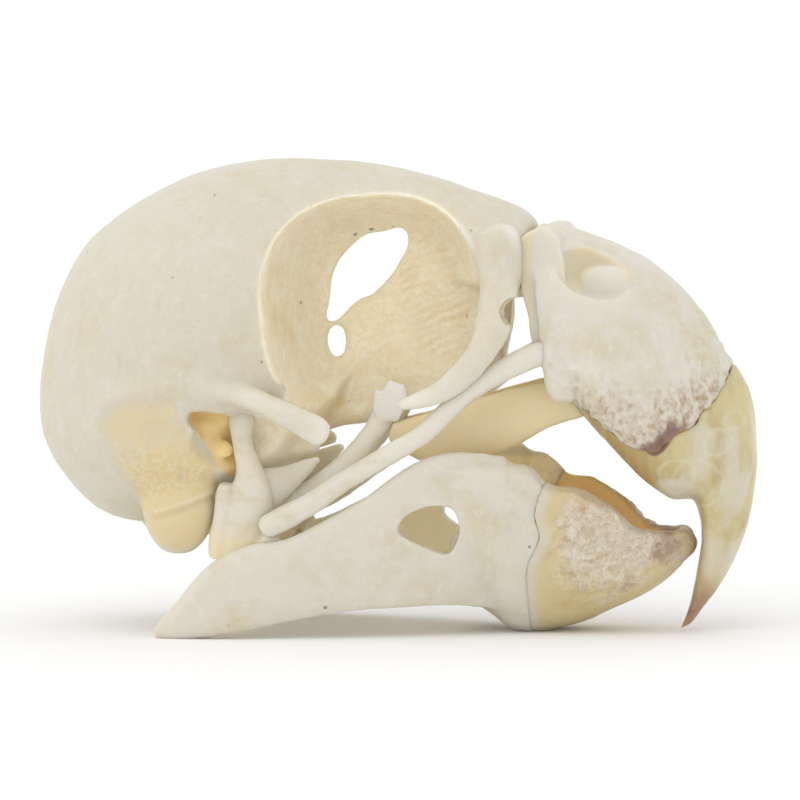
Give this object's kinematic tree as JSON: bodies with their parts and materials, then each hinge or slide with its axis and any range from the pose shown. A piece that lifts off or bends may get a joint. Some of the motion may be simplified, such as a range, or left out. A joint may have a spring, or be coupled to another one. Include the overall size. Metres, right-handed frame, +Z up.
{
  "type": "lovebird skull",
  "caption": "Dry skull of a lovebird lying on its lower jaw, with domed braincase, large eye sockets, hooked upper beak in its horn sheath and scoop-shaped lower jaw.",
  "frame": {"origin": "on the floor under the middle of the skull's bounding box", "axes": "+X towards the beak, +Z up, the bird's right side faces -Y"},
  "size_m": [0.0331, 0.0164, 0.0217],
  "materials": {
    "bone": "dry ivory bone, matt with fine pores and faint yellow mottling",
    "small_bone": "thin smooth bone, slightly yellow and translucent",
    "upper_horn": "translucent yellow horn with whitish flaking patches and a pink-brown tip",
    "lower_horn": "yellow horn with a whitish fibrous crust and brown stains"
  },
  "bodies": {
    "root": {"cranium": "bone", "upper_beak_bone": "bone", "upper_beak_sheath": "upper_horn", "jugal_right": "small_bone", "jugal_left": "small_bone", "quadrate_right": "small_bone", "quadrate_left": "small_bone", "pterygoid_right": "small_bone", "pterygoid_left": "small_bone", "palatine_right": "small_bone", "palatine_left": "small_bone", "mandible": "bone", "lower_beak_sheath": "lower_horn"}
  },
  "joints": []
}
